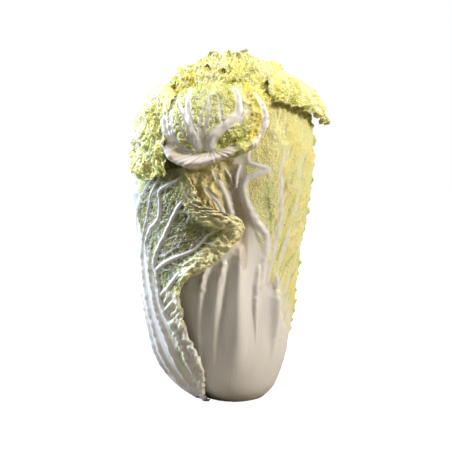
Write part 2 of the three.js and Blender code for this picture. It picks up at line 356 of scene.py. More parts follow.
def margin_distance(points):
    """How far each place of a sheet is from its free margins, in millimetres."""
    rim = np.concatenate([points[:, 0][::5], points[-1][::4], points[::-5, -1]])
    best = np.full(points.shape[:2], 1e9)
    for a, b in zip(rim[:-1], rim[1:]):
        ab = b - a
        t = np.clip(((points - a) @ ab) / (ab @ ab + 1e-9), 0, 1)
        best = np.minimum(best, np.linalg.norm(points - a - t[..., None] * ab, axis=2))
    return best


def squares(grid):
    """The four corners of every square of a grid, in turn."""
    return grid[:-1, :-1], grid[:-1, 1:], grid[1:, 1:], grid[1:, :-1]


def quads(corners, size=()):
    """Faces from four matching arrays of corners: point numbers, or UV places, whose size is (2,)."""
    return np.stack([corner.reshape(-1, *size) for corner in corners], 1)


def ring_quads(index):
    """The squares of a grid whose last column meets its first."""
    return quads(squares(np.hstack([index, index[:, :1]])))


def fan(hub, a, b, c):
    """Faces that share the corner hub."""
    return quads((np.full(a.shape, hub), a, b, c))


def linked(name, data):
    made = bpy.data.objects.new(name, data)
    bpy.context.scene.collection.objects.link(made)
    return made


def object_from(name, points, faces, uvs, masks):
    """A mesh object, from millimetres, with its masks as point attributes."""
    mesh = bpy.data.meshes.new(name)
    mesh.vertices.add(len(points))
    mesh.vertices.foreach_set("co", (points * SCALE).astype(np.float32).ravel())
    mesh.loops.add(faces.size)
    mesh.loops.foreach_set("vertex_index", faces.astype(np.int32).ravel())
    mesh.polygons.add(len(faces))
    mesh.polygons.foreach_set("loop_start", np.arange(0, faces.size, 4, dtype=np.int32))
    mesh.polygons.foreach_set("use_smooth", np.ones(len(faces), bool))
    layer = mesh.uv_layers.new(name="OFBake")
    layer.data.foreach_set("uv", uvs.astype(np.float32).ravel())
    for key, values in masks.items():
        kind, field = ("FLOAT_VECTOR", "vector") if values.ndim == 2 else ("FLOAT", "value")
        attribute = mesh.attributes.new(key, kind, "POINT")
        attribute.data.foreach_set(field, values.astype(np.float32).ravel())
    mesh.update(calc_edges=True)
    return linked(name, mesh)


def shell(name, sheet, relief, thick, masks, slides):
    """Closes a sheet into a thin solid: the outer face with its relief, the inner face and the rim."""
    tall, wide = sheet.up.shape
    outer = sheet.points + sheet.out * relief[..., None]
    outer += sheet.du * slides[0][..., None] + sheet.dv * slides[1][..., None]
    inner = outer - sheet.out * thick[..., None]
    outer[..., 2] = np.maximum(outer[..., 2], 0)
    inner[..., 2] = np.maximum(inner[..., 2], 0.4)
    points = np.concatenate([outer.reshape(-1, 3), inner.reshape(-1, 3)])
    index = np.arange(tall * wide).reshape(tall, wide)
    far = index + tall * wide
    su, sv = (sheet.u + 1) / 2, np.linspace(0, 1, tall)[:, None] * np.ones((1, wide))
    uv = np.stack([0.01 + 0.48 * su, 0.01 + 0.98 * sv], -1)
    faces = [quads(squares(index)), quads(squares(far))[:, TURNED]]
    maps = [quads(squares(uv), (2,)), quads(squares(uv + (0.5, 0)), (2,))[:, TURNED]]
    step = 0.008  # how wide the rim is in the UV map
    rims = [
        (index[0], far[0], uv[0], (0, -step), False),
        (index[-1], far[-1], uv[-1], (0, step), True),
        (index[:, 0], far[:, 0], uv[:, 0], (-step, 0), True),
        (index[:, -1], far[:, -1], uv[:, -1], (step, 0), False),
    ]
    for near, back, where, shift, flip in rims:
        moved = where + shift
        face = quads((near[1:], near[:-1], back[:-1], back[1:]))
        spot = quads((where[1:], where[:-1], moved[:-1], moved[1:]), (2,))
        faces.append(face[:, ::-1] if flip else face)
        maps.append(spot[:, ::-1] if flip else spot)
    masks = {k: np.concatenate([m.reshape(tall * wide, *m.shape[2:])] * 2) for k, m in masks.items()}
    return object_from(name, points, np.concatenate(faces), np.concatenate(maps).reshape(-1, 2), masks)


# ---- Materials ----

# Linear colours of a leaf's blade, from deep yellow to olive green, by its tone from 0 to 1.
TONES = [
    (0.0, (0.80, 0.47, 0.008)),
    (0.25, (0.86, 0.68, 0.05)),
    (0.5, (0.84, 0.80, 0.27)),
    (0.75, (0.52, 0.54, 0.085)),
    (1.0, (0.15, 0.145, 0.022)),
]
PALE = (0.86, 0.84, 0.52)  # the blade's fine veins
WHITE = (0.83, 0.79, 0.72)
STREAKED = (0.78, 0.73, 0.66)  # the white flesh's streaks
IVORY = (0.80, 0.75, 0.60)  # its yellower patches
BROWN = (0.34, 0.19, 0.075)
RUST = (0.50, 0.34, 0.15)
MESH, ISLANDS = 0.55, 0.26  # cells for each millimetre, in the blade's two nets of veins


class Graph:
    """A material's node tree, with short calls for the few nodes that leaves use."""

    def __init__(self, name):
        self.material = bpy.data.materials.new(name)
        self.material.use_nodes = True
        self.nodes = self.material.node_tree.nodes
        self.links = self.material.node_tree.links
        self.shader = self.nodes["Principled BSDF"]

    def put(self, socket, value):
        if isinstance(value, bpy.types.NodeSocket):
            self.links.new(value, socket)
        elif isinstance(value, tuple) and len(value) == 3 and socket.type == "RGBA":
            socket.default_value = (*value, 1)
        else:
            socket.default_value = value

    def node(self, kind, inputs, **settings):
        made = self.nodes.new(kind)
        for key, value in settings.items():
            setattr(made, key, value)
        for key, value in inputs.items():
            self.put(made.inputs[key], value)
        return made.outputs

    def attribute(self, name, output="Fac"):
        return self.node("ShaderNodeAttribute", {}, attribute_name=name)[output]

    def math(self, operation, a, b):
        return self.node("ShaderNodeMath", {0: a, 1: b}, operation=operation)[0]

    def spread(self, value, low, high, to_low=0.0, to_high=1.0):
        inputs = dict(enumerate((value, low, high, to_low, to_high)))
        return self.node("ShaderNodeMapRange", inputs, interpolation_type="SMOOTHSTEP")[0]

    def mix(self, share, a, b):
        return self.node("ShaderNodeMix", {0: share, 6: a, 7: b}, data_type="RGBA")[2]

    def noise(self, where, scale, detail, roughness=0.55):
        inputs = {"Vector": where, "Scale": scale, "Detail": detail, "Roughness": roughness}
        return self.node("ShaderNodeTexNoise", inputs)["Fac"]

    def stretch(self, where, x, y):
        return self.node("ShaderNodeMapping", {"Vector": where, "Scale": (x, y, 1)})[0]

    def cells(self, where, scale):
        inputs = {"Vector": where, "Scale": scale}
        return self.node("ShaderNodeTexVoronoi", inputs, feature="DISTANCE_TO_EDGE")["Distance"]

    def ramp(self, value, stops):
        node = self.nodes.new("ShaderNodeValToRGB")
        elements = node.color_ramp.elements
        while len(elements) < len(stops):
            elements.new(0.5)
        for element, (position, colour) in zip(elements, stops):
            element.position = position
            element.color = (*colour, 1)
        self.put(node.inputs[0], value)
        return node.outputs[0]


def leaf_material(name, gloss, glow):
    """Fresh leaf: a waxy white rib, and a blade whose tone, fine veins and brown spots come from the mesh,
    with painted shade among them.
    """
    g = Graph(name)
    where = g.attribute("leaf", "Vector")
    white, tone, fine, brown = (g.attribute(key) for key in ("white", "tone", "fine", "brown"))
    patches = g.noise(where, 0.06, 4.0)
    grainy = g.noise(where, 0.55, 3.0)
    shifted = g.math("ADD", tone, g.spread(patches, 0.25, 0.75, -0.10, 0.10))
    shifted = g.math("ADD", shifted, g.spread(grainy, 0.3, 0.7, -0.05, 0.05))
    meshwork = g.cells(where, MESH)
    islands = g.cells(where, ISLANDS)
    shifted = g.math("ADD", shifted, g.spread(meshwork, 0.0, 0.4, -0.08, 0.08))
    blade = g.ramp(shifted, TONES)
    thread = g.spread(meshwork, 0.0, 0.12, 0.4, 0.0)
    pale = g.mix(0.5, blade, PALE)
    blade = g.mix(thread, blade, pale)
    blade = g.mix(g.math("MULTIPLY", fine, 0.5), blade, pale)
    streaks = g.noise(g.stretch(where, 0.9, 0.035), 1.0, 4.0)
    flesh = g.mix(g.spread(streaks, 0.3, 0.72), WHITE, STREAKED)
    flesh = g.mix(g.spread(patches, 0.45, 0.8, 0.0, 0.35), flesh, IVORY)
    colour = g.mix(white, blade, flesh)
    specks = g.noise(where, 0.42, 1.0)
    # The brown mask holds real browning and specks, and on the front leaf also a painted shadow down its
    # valley.
    blemish_and_shade = g.math("MAXIMUM", brown, g.spread(specks, 0.80, 0.86, 0.0, 0.55))
    colour = g.mix(blemish_and_shade, colour, g.mix(g.spread(grainy, 0.3, 0.7), BROWN, RUST))
    g.put(g.shader.inputs["Base Color"], colour)
    shine = g.spread(grainy, 0.3, 0.7, gloss, gloss + 0.16)
    g.put(g.shader.inputs["Roughness"], g.math("SUBTRACT", shine, g.math("MULTIPLY", white, 0.06)))
    g.shader.inputs["Specular IOR Level"].default_value = 0.45
    g.shader.inputs["Subsurface Weight"].default_value = glow
    g.shader.inputs["Subsurface Radius"].default_value = (1.0, 0.85, 0.35)
    g.shader.inputs["Subsurface Scale"].default_value = 0.0016  # metres
    grain = g.noise(where, 1.6, 4.0, 0.6)
    netted = g.math("ADD", g.spread(meshwork, 0.0, 0.25, 0.7, 0.0), g.spread(islands, 0.0, 0.3, 0.5, 0.0))
    netted = g.math("MULTIPLY", netted, g.math("SUBTRACT", 1.0, white))
    surface = g.math("ADD", g.math("MULTIPLY", grain, 0.35), netted)
    surface = g.math("ADD", surface, g.math("MULTIPLY", streaks, g.math("MULTIPLY", white, 0.35)))
    bump = g.node("ShaderNodeBump", {"Strength": 0.8, "Distance": 0.0006, "Height": surface})
    g.put(g.shader.inputs["Normal"], bump[0])
    return g.material


MATERIALS = {
    "outer_leaf": leaf_material("outer_leaf_skin", 0.32, 0.18),
    "inner_leaf": leaf_material("inner_leaf_skin", 0.34, 0.25),
    "crown_leaf": leaf_material("crown_leaf_skin", 0.36, 0.28),
    "heart_leaf": leaf_material("heart_leaf_skin", 0.45, 0.35),
    "stem": leaf_material("stem_flesh", 0.50, 0.20),
}


def finish_piece(made, node, slot):
    """Gives a piece its material, ties it to its body and hides the CAD node that it replaces."""
    made.data.materials.append(MATERIALS[slot])
    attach(made, "root")
    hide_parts(node)


# ---- The leaves' tables: rows of (up, azimuths, lifts) from the foot to the tip, as in the CAD ----


def level(lift):
    return (lift,) * 5


def across(centre, half):
    return [centre + u * half for u in (-1, -0.5, 0, 0.5, 1)]


def hidden_rows(centre, half, lift):
    """The lower stretch of a leaf that starts inside the head."""
    return [(up, across(centre, half), level(lift)) for up in (24, 90, 155)]


def wrapper_rows(centre, left, right, tip):
    """An outer leaf round the side or the back: left and right are the lifts of its margins."""
    widths = [(-8, 39), (28, 39), (60, 38), (100, 42), (140, 47), (180, 52), (215, 55), (245, 54), (270, 48)]
    lifts = (left, left * 0.45, 0, right * 0.45, right)
    rows = [(up, across(centre, half), lifts) for up, half in widths]
    ends = (left, left * 0.5, 0.5, right * 0.5 + 1, right)
    tops = (tip - 18, tip - 5, tip, tip - 5, tip - 18)
    return rows + [(tops, [centre + a for a in (-34, -18, 0, 18, 34)], ends)]


def crown_rows(centre, half, tip, rise):
    """A leaf that closes over the top: rise is its lift there."""
    near_tip = (rise, rise + 2, rise + 5, rise + 2, rise)
    at_tip = (rise - 1, rise + 3, rise + 7, rise + 3, rise - 1)
    return [
        *hidden_rows(centre, 30, -14),
        (215, across(centre, 32), level(-15)),
        ((262, 268, 270, 268, 262), across(centre, half), level(-11)),
        ((280, 288, 291, 288, 280), across(centre, half + 6), level(-3)),
        ((291, 300, 304, 300, 291), across(centre, half + 14), level(rise * 0.6)),
        ((303, 313, 317, 313, 303), across(centre, half + 24), level(rise)),
        ((310, 324, tip - 4, 324, 310), across(centre, half + 34), near_tip),
        ((314, 330, tip, 330, 314), across(centre, half + 40), at_tip),
    ]


LEFT_WRAPPER = [
    (-8, (-108, -90, -71, -53, -36), level(0)),
    (26, (-104, -82, -60, -38, -18), level(0)),
    (50, (-105, -80, -56, -34, -13), (0, 0, 0, 0.5, 1)),
    (74, (-106, -82, -58, -38, -22), (0, 0, 0, 0.5, 2)),
    (98, (-108, -84, -61, -42, -26), (0, 0, 0, 0.5, 3)),
    (118, (-110, -86, -63, -41, -23), (0, 0, 0, 1, 5)),
    (134, (-110, -86, -62, -34, -5), (0, 0, 0, 2, 6)),
    (150, (-104, -82, -60, -28, 8), (0, 0, 0, 3, 6)),
    (165, (-91, -74, -55, -24, 15), (0, 0, 0, 3, 7)),
    (176, (-79, -67, -51, -25, 11), (0, 0, 0, 3, 7)),
    (186, (-69, -60, -48, -29, -9), (0, 0, 0, 2, 4)),
    (200, (-60, -53, -44, -31, -17), (0, 0, 0, 0.5, 2)),
    (215, (-52, -47, -40, -33, -24), level(0)),
]
FRONT_WRAPPER = [
    (-8, (-40, -13, 15, 43, 70), (-5.5, -2.5, 0, 0, 0)),
    (26, (-38, -12, 16, 48, 80), (-6.5, -3, 0, 0, 0)),
    (50, (-36, -10, 18, 53, 88), (-7, -4, 0, 0, 1)),
    (74, (-35, -10, 18, 55, 92), (-7, -4, 0, 0, 2)),
    (98, (-34, -10, 17, 56, 93), (-7, -4, 0, 0, 2.5)),
    (122, (-34, -11, 15, 55, 94), (-7, -4.5, -1, 0, 3)),
    (146, (-34, -12, 12, 53, 93), (-7, -5, -3, 1, 3)),
    (170, (-35, -13, 10, 50, 92), (-7, -5, -7, 2, 3)),
    (192, (-36, -14, 9, 47, 92), (-6, -4, -8, 2, 3)),
    ((207, 208, 212, 222, 224), (-36, -14, 9, 45, 91), (-5, -3, -7, 1, 3)),
    ((213, 214, 222, 246, 250), (-34, -13, 10, 43, 86), (-5, -4, -5, 1, 2)),
    ((217, 218, 230, 268, 274), (-31, -12, 12, 42, 79), (-5, -4, -5, 0, 0)),
    ((220, 221, 235, 284, 286), (-28, -11, 14, 42, 72), (-5, -4, -6, -2, -3)),
]
FOLDED = [
    *hidden_rows(-12, 30, -12),
    ((198, 192, 190, 192, 198), (-42, -27, -13, 1, 15), level(-14)),
    ((227, 213, 211, 218, 227), (-43, -28, -14, 0, 15), (-7, -7, -8, -9, -9)),
    ((236, 221, 219, 226, 235), (-44, -29, -14, 2, 19), (4, 7, 8, 8, 5)),
    ((244, 231, 229, 235, 243), (-46, -31, -14, 4, 24), (3, 2, 1, 2, 3)),
    ((254, 245, 243, 248, 254), (-47, -32, -13, 6, 28), (4, 5, 5, 5, 4)),
    ((267, 264, 263, 265, 268), (-46, -31, -12, 9, 29), (4, 5, 6, 6, 4)),
    ((281, 283, 285, 286, 284), (-44, -30, -11, 9, 29), (1, 3, 4, 4, 2)),
    ((290, 297, 300, 300, 295), (-40, -26, -10, 8, 26), level(-3)),
]
RIGHT_FLAP = [
    *hidden_rows(66, 34, -13),
    (210, (34, 50, 66, 84, 102), level(-13)),
    (262, (36, 51, 66, 83, 100), level(-10)),
    ((289, 294, 296, 294, 289), (38, 52, 66, 82, 98), level(-5)),
    ((293, 300, 303, 300, 294), (37, 51, 66, 83, 100), (1, 3, 4, 4, 3)),
    ((286, 290, 290, 285, 281), (34, 50, 66, 84, 102), (5, 7, 9, 10, 9)),
    ((277, 277, 271, 264, 263), (30, 48, 66, 86, 106), (8, 11, 14, 15, 12)),
    ((269, 264, 255, 247, 251), (27, 46, 67, 88, 108), (8, 11, 15, 18, 15)),
]
LEFT_FLAP = [
    *hidden_rows(-66, 34, -11),
    (210, (-100, -83, -66, -50, -34), level(-11)),
    (255, (-98, -82, -66, -51, -37), level(-10)),
    ((272, 278, 280, 278, 272), (-97, -81, -66, -52, -39), level(-3)),
    ((272, 281, 284, 281, 273), (-98, -82, -66, -52, -40), (4, 5, 6, 6, 5)),
    ((257, 262, 262, 260, 255), (-100, -83, -67, -52, -39), (5, 6, 7, 7, 6)),
    ((243, 243, 238, 236, 236), (-102, -84, -67, -50, -37), (4, 5, 6, 7, 6)),
    ((230, 224, 216, 214, 218), (-102, -84, -66, -48, -35), (3, 4, 6, 7, 6)),
    ((221, 214, 207, 206, 211), (-100, -83, -65, -47, -34), (4, 5, 7, 8, 7)),
]

# Each crown leaf: its name, what crown_rows takes, its seed and its tone.
CROWN = [
    ("right", (46, 26, 340, 2.5), 361, 0.40),
    ("front", (-22, 24, 336, 2), 391, 0.36),
    ("left", (-92, 24, 334, 0.5), 421, 0.40),
    ("back", (166, 34, 338, -1.5), 451, 0.44),
]

# ---- Ribs seen from the front, each (widths along it, [(x, z), ...]) in millimetres ----

LEFT_RIBS = [
    (
        (4, 5, 5, 4.5, 4.5, 3.5, 2.5, 1),
        [(-22, 12), (-31, 34), (-42, 61), (-52, 79), (-57, 92), (-59, 110)]
        + [(-61, 126), (-54, 143), (-48, 156), (-41, 171), (-35, 180), (-31, 186)],
    ),
    (
        (4, 5, 5, 4.5, 4, 3.5, 2.5, 1),
        [(-29, 12), (-42, 34), (-52, 58), (-61, 82), (-65, 105), (-67, 122), (-69, 137)]
        + [(-66, 150), (-58, 160), (-56, 174), (-57, 184), (-52, 189), (-45, 193), (-37, 198)],
    ),
    (
        (4, 5, 5, 4.5, 4, 3, 1),
        [(-40, 16), (-54, 38), (-64, 66), (-70, 94), (-73, 118), (-73, 136)]
        + [(-71, 148), (-67, 166), (-65, 179), (-60, 191), (-56, 198)],
    ),
    ((4, 5, 5, 4, 3, 1), [(-53, 26), (-66, 56), (-73, 86), (-78, 114), (-80, 140), (-79, 158), (-76, 172)]),
    ((3, 2.5, 1), [(-78, 166), (-74, 175), (-68, 189), (-61, 198)]),
    ((4, 4, 3, 2), [(-24, 20), (-33, 42), (-42, 60), (-50, 76)]),
    (
        (4, 3.2, 2.5, 1.6, 0.8),
        [(-60, 117), (-54, 123), (-43, 130), (-30, 136), (-23, 142), (-16, 151), (-8, 155)],
    ),
    ((1.6, 0.8), [(-57, 130), (-48, 134), (-40, 141), (-34, 151)]),
    ((1.4, 0.7), [(-53, 143), (-43, 148), (-33, 151)]),
    ((1.4, 0.7), [(-44, 168), (-30, 169), (-18, 167)]),
    ((3.5, 3.5, 1.5), [(-56, 96), (-48, 105), (-40, 116), (-34, 120)]),
    ((2.5, 1.5), [(-53, 91), (-43, 101)]),
    ((3, 3.5, 2.5), [(-52, 84), (-46, 90), (-39, 95)]),
    ((2.5, 2), [(-50, 76), (-44, 82)]),
    ((2.5, 1.5), [(-45, 66), (-37, 71)]),
    ((2.5, 1.5), [(-41, 57), (-33, 60)]),
    ((2.5, 1.5), [(-39, 51), (-31, 56)]),
    ((2, 1.2), [(-36, 42), (-29, 44)]),
    ((2.5, 1.5), [(-32, 38), (-30, 26), (-28, 12)]),
]
FRONT_RIBS = [
    (
        (4, 7, 7, 6.5, 5.5, 5, 4.5, 4, 4, 3.5, 3),
        [(27, 104), (29, 122), (32, 136), (32, 146), (29, 152), (23, 162), (18, 173), (15, 182)]
        + [(14, 189), (18, 196), (27, 200), (34, 203), (27, 206), (18, 210), (17, 217), (20, 224)],
    ),
    (
        (2, 3.5, 3.5, 3, 1),
        [(33, 107), (36, 124), (39, 141), (42, 160), (43, 176), (43, 190), (43, 201), (47, 222)],
    ),
    ((3, 2.5, 1), [(38, 104), (45, 129), (52, 160), (57, 190), (61, 217)]),
    ((2, 1.6, 0.6), [(42, 85), (54, 118), (62, 151), (67, 182)]),
    ((2.5, 3.5, 4, 4), [(-19, 187), (-13, 180), (-8, 174), (-3, 163)]),
    ((2, 3, 4, 4.5), [(-12, 201), (-8, 193), (-3, 183), (3, 166)]),
    ((2, 2.5, 2), [(10, 206), (8, 198), (8, 188)]),
    ((1.5, 1), [(-3, 204), (2, 197), (5, 190)]),
]
FRONT_CREASES = [
    ((0.5, 1.6, 0.6), [(64, 213), (60, 201), (55, 183)]),
    ((0.6, 2.2, 2.2, 0.6), [(59, 179), (54, 166), (50, 154), (45, 141), (41, 126)]),
    ((0.6, 1.6, 0.6), [(65, 168), (63, 148), (59, 134)]),
    ((0.6, 1.8, 0.6), [(58, 135), (49, 119), (42, 104)]),
    ((0.6, 1.4, 0.6), [(59, 119), (52, 107)]),
    ((0.6, 1.8, 0.6), [(33, 182), (35, 160), (34, 142), (30, 134)]),
    ((0.6, 1.4, 0.6), [(70, 205), (68, 188), (65, 176)]),
]
FRONT_VALLEY = [((8, 13, 14, 13, 8, 4), [(0, 207), (4, 192), (8, 172), (10, 155), (12, 138), (13, 122)])]
FRONT_FOLDS = [
    ((5, 8, 9, 8, 4), [(-19, 122), (-22, 104), (-24, 85), (-25, 60), (-25, 38)]),
    ((5, 9, 10, 9, 4), [(-4, 124), (-8, 104), (-10, 85), (-12, 62), (-13, 38)]),
    ((6, 11, 14, 18, 22), [(10, 136), (8, 112), (7, 85), (7, 55), (7, 25)]),
    ((2, 5, 5, 2), [(25, 122), (23, 104), (22, 85), (23, 55)]),
    ((3, 9, 9, 3), [(40, 112), (39, 92), (39, 67), (37, 30)]),
]
FOLDED_RIBS = [
    ((6, 5, 4.5, 3.5, 2), [(-24, 222), (-25, 229), (-29, 240), (-31, 256), (-30, 268), (-29, 275)]),
    ((2.5, 2, 1.2, 0.6), [(-20, 222), (-22, 238), (-17, 255), (-11, 267)]),
    ((6, 6.5, 6, 5, 4, 3), [(-14, 221), (-13, 230), (-2, 239), (7, 247), (8, 255), (6, 267), (4, 275)]),
    ((4, 3.5, 2.5, 1.2), [(-22, 222), (-28, 229), (-31, 241), (-36, 251), (-41, 260)]),
    ((3, 3, 2.5, 1.2), [(-30, 218), (-38, 222), (-42, 230), (-44, 240), (-46, 254), (-51, 265)]),
    ((2.5, 1), [(-26, 222), (-34, 232), (-38, 246)]),
    ((1.5, 0.6), [(-24, 237), (-17, 243), (-10, 247)]),
    ((1.5, 0.6), [(-29, 256), (-20, 262), (-11, 271)]),
    ((1.5, 0.6), [(-16, 226), (-11, 238), (-8, 252)]),
    ((2.2, 1.6, 0.8), [(-4, 238), (-6, 248), (-8, 262)]),
    ((2.2, 1.6, 0.8), [(-20, 230), (-15, 246), (-14, 262), (-10, 276)]),
    ((2.0, 1.4, 0.8), [(8, 240), (14, 250), (16, 262)]),
    ((2, 4, 5, 5, 4), [(19, 262), (25, 254), (28, 244), (26, 232), (20, 223)]),
]
LIP = [((3, 6, 9, 9.5, 10), [(-49, 252), (-50, 240), (-48, 228), (-43, 219), (-36, 214)])]

# ---- White midribs: rows of (up, azimuth of the left side, azimuth of the right side) ----

LEFT_BAND = [(0, -150, -20), (60, -150, -34), (85, -140, -42), (105, -125, -50), (125, -98, -54)]
LEFT_BAND += [(150, -94, -64), (165, -86, -76), (180, -90, -88), (215, -110, -108)]
FRONT_BAND = [(0, -90, 110), (40, -90, 96), (60, -90, 80), (84, -90, 60), (108, -60, 46), (125, -40, 40)]
FRONT_BAND += [(144, -24, 36), (153, -6, 30), (168, 2, 25), (184, 4, 17), (208, 5, 16)]
FRONT_BAND += [(225, 8, 14), (240, 20, 18)]
FRONT_FADE = [(0, -90, 122), (60, -90, 106), (84, -90, 84), (108, -60, 62), (135, -60, 46)]


def between(sheet, table, soft, seed):
    """1 inside a band, 0 outside, with sides that wander and are soft millimetres wide."""
    ups, lefts, rights = zip(*table)
    left = np.radians(np.interp(sheet.up, ups, lefts)) * SPREAD
    right = np.radians(np.interp(sheet.up, ups, rights)) * SPREAD
    wobble = 2.0 * noise(sheet.arc / 9, sheet.up / 9, seed)
    return ramp(-soft, soft, np.minimum(sheet.arc - left, right - sheet.arc) + wobble)


def tissue(sheet, seed, white, shown, cell, swell, crumple, wave):
    """The blade's own relief: lumps of three sizes, bulging outwards, or inwards where swell is negative."""
    x, y = sheet.x, sheet.y
    blade = (1 - white) * shown
    large, _ = lumps(x, y, wave, seed + 20)
    middling, coarse = lumps(x, y, cell, seed)
    small, fine = lumps(x, y, cell * 0.45, seed + 10)
    sign = 1 if swell > 0 else -1
    relief = crumple * (0.7 * sign * (large - 0.5) + 0.6 * folded(x / wave, y / wave, seed + 30))
    relief += swell * (middling - 0.5) + 0.4 * swell * (small - 0.5)
    return blade * relief, np.maximum(coarse, 0.45 * fine)


def frill(sheet, edge, seed, reach, height, length):
    """Waves that grow towards the margin, and a ragged outline: relief, and slides across and along."""
    near = ramp(reach, 0, edge) ** 1.4
    waves = noise(sheet.x / length, sheet.y / length, seed)
    waves += 0.5 * noise(sheet.x / length * 2.3, sheet.y / length * 2.3, seed + 3)
    side = np.sign(sheet.u) * ramp(5, 0, np.minimum(sheet.left, sheet.right))
    rag = 1.4 * rough(sheet.x / 6, sheet.y / 6, seed + 7, 3) * height / 4
    return near * height * waves, np.stack([side * rag, ramp(5, 0, sheet.top) * rag])


BLADE, MIDRIB = 0.7, 3.3  # thickness of the blade, and what a midrib adds to it


def thickness(sheet, white, edge):
    return BLADE + MIDRIB * white * ramp(0, 12, edge) * ramp(1.0, 0.3, sheet.v)


def sunken(away, depth, width):
    """How far the blade lies below its veins, from nothing beside one to depth far from it."""
    return depth * (1 - np.exp(-((away / width) ** 2)))


def paint(sheet, white, tone, fine, brown=0.0):
    """The masks that the node materials read."""
    full = np.ones(sheet.up.shape)
    leaf = np.stack([sheet.x, sheet.y, full * 0], -1)
    foot = ramp(5.0, 1.0, sheet.points[..., 2]) * 0.55
    return {
        "leaf": leaf,
        "white": np.clip(white, 0, 1) * full,
        "tone": np.clip(tone, 0, 1) * full,
        "fine": np.clip(fine, 0, 1) * full,
        "brown": np.clip(np.maximum(brown, foot), 0, 1) * full,
    }


def rim_brown(sheet, edge, seed, share=0.5):
    """Browned places along the margin."""
    spots = ramp(0.15, 0.5, rough(sheet.x / 9, sheet.y / 9, seed, 3))
    return share * spots * ramp(2.5, 0.3, edge)


# ---- The leaves ----


def make_leaf(place, slot, sheet, relief, thick, masks, slides):
    made = shell(f"leaf_{place}", sheet, relief, thick, masks, slides)
    finish_piece(made, f"{place}_leaf", slot)


def left_wrapper():
    """The outermost leaf: ribs that fork up its left, a flare at mid height, and a gathered wing below it."""
    s = Sheet(LEFT_WRAPPER, 180, 275)
    edge = margin_distance(s.points)
    height, vein, away = veined(s.arc, s.up, seen(LEFT_RIBS), 13, 9, 15, 1.3)
    band = between(s, LEFT_BAND, 3, 11)
    white = np.maximum(band, vein)
    relief, fine = tissue(s, 12, white, 1.0, cell=4.4, swell=-0.7, crumple=1.4, wave=14)
    relief -= (1 - band) * sunken(away, 2.0, 3.0)
    free = ramp(-34, -14, s.azimuth) * ramp(108, 125, s.up)
    flare = np.exp(-(((edge - 4) / 8.0) ** 2)) * free * ramp(186, 170, s.up)
    relief += 1.55 * height + 4.5 * flare - 0.8 * free * ramp(3, 0, edge)
    relief += 3.0 * free * ramp(18, 13, edge) * folded(s.x / 7, s.y / 7, 17, 4)
    wing = ramp(22, 12, s.right) * ramp(122, 104, s.up)
    gathers = noise((s.x + s.y) / 26, (s.y - 0.8 * s.x) / 3.8, 15)
    relief += wing * (1.5 * gathers + 3.0 * ramp(9, 0, s.right)) * ramp(0, 3, s.right + 1)
    wave, slides = frill(s, edge, 16, 13, 3.6, 7)
    relief += wave * np.maximum(free, 0.8 * ramp(15, 40, s.up) * ramp(130, 110, s.up))
    # The flared lip is paler and whiter: partly its paler inner face turned outwards, partly painted light on
    # a flare that turns away from the lamps.
    lip = ramp(16, 11, edge) * free
    tone = 1.0 - 0.58 * lip - 0.52 * wing
    white = np.maximum(white, wing * np.interp(s.up, (0, 70, 112), (0.95, 0.85, 0.45)))
    white = np.maximum(white, 0.4 * lip)
    pale = ramp(2.5, 0.8, edge) * free
    masks = paint(s, white, tone - 0.2 * pale, np.maximum(0.6 * fine, pale), rim_brown(s, edge, 18, 0.25))
    make_leaf("left_wrapper", "outer_leaf", s, relief, thickness(s, band, edge), masks, slides)


def front_wrapper():
    """The broad midrib at the front, a zigzag rib above it, and the big blade up the right side."""
    s = Sheet(FRONT_WRAPPER, 190, 258)
    edge = margin_distance(s.points)
    height, vein, away = veined(s.arc, s.up, seen(FRONT_RIBS), 23, 9, 13, 1.1)
    folds = drawn(s, FRONT_FOLDS)[0]
    creases, _, near = drawn(s, FRONT_CREASES)
    band = between(s, FRONT_BAND, 3, 21)
    faded = 0.75 * between(s, FRONT_FADE, 12, 25) * ramp(140, 105, s.up)
    white = np.maximum(np.maximum(band, vein), faded)
    relief, fine = tissue(s, 22, white, 1.0, cell=4.8, swell=-0.5, crumple=1.2, wave=18)
    left = ramp(4, -2, s.azimuth) * ramp(150, 170, s.up)
    relief += left * (1 - vein) * 2.6 * folded(s.arc / 13, s.up / 16, 24)
    relief -= (1 - band) * sunken(away, 0.9, 3.0)
    soft = ramp(28, 110, s.up) * ramp(215, 160, s.up)
    relief += height + 2.1 * folds * soft - 1.7 * creases
    valley, valley_shade, _ = drawn(s, FRONT_VALLEY)
    relief -= (1 - vein) * 0.75 * valley
    wave, slides = frill(s, edge, 26, 14, 4.2, 8)
    right = ramp(40, 70, s.azimuth)
    relief += wave * right * ramp(40, 80, s.up)
    slant = s.arc - 0.3 * s.up
    wrinkles = noise(slant / 3.0, s.up / 30, 27) + 0.8 * noise(slant / 8, s.up / 26, 29)
    wrinkled = wrinkles * (1 - band) * ramp(28, 45, s.azimuth) * ramp(2, 10, edge)
    relief += 1.5 * wrinkled
    tone = 0.46 + 0.32 * ramp(13, 3, edge) * right - 0.22 * left
    # Painted shade: the blade is darker and greener in and beside its creases.
    tone += 0.08 * ramp(0.3, 0, near) + 0.25 * ramp(2.0, 0, near)
    beside_rib = ramp(24, 34, s.azimuth) * ramp(40, 32, s.azimuth)
    tone += 0.18 * beside_rib * ramp(140, 160, s.up) * ramp(215, 200, s.up)
    # Painted shade: the tone deepens down the valley, and the wrinkles are darker in their hollows and paler
    # on their crests.
    tone += 0.25 * valley_shade - 0.07 * wrinkled
    white = np.maximum(white, 0.18 + 0.17 * left)
    high_sore = 0.75 * np.exp(-(((s.arc - 55) / 2.2) ** 2) - ((s.up - 200) / 5.0) ** 2)
    low_sore = 0.4 * np.exp(-(((s.arc - 50) / 3.0) ** 2) - ((s.up - 117) / 3.5) ** 2)
    brown = np.maximum(rim_brown(s, edge, 28, 0.4), np.maximum(high_sore, low_sore))
    # Painted shadow: brown laid down the valley, where the blade lies in shade.
    brown = np.maximum(brown, 0.45 * valley_shade * (1 - vein))
    masks = paint(s, white, tone, fine * 0.7, brown)
    slides[0] *= right
    make_leaf("front_wrapper", "outer_leaf", s, relief, thickness(s, band, edge), masks, slides)


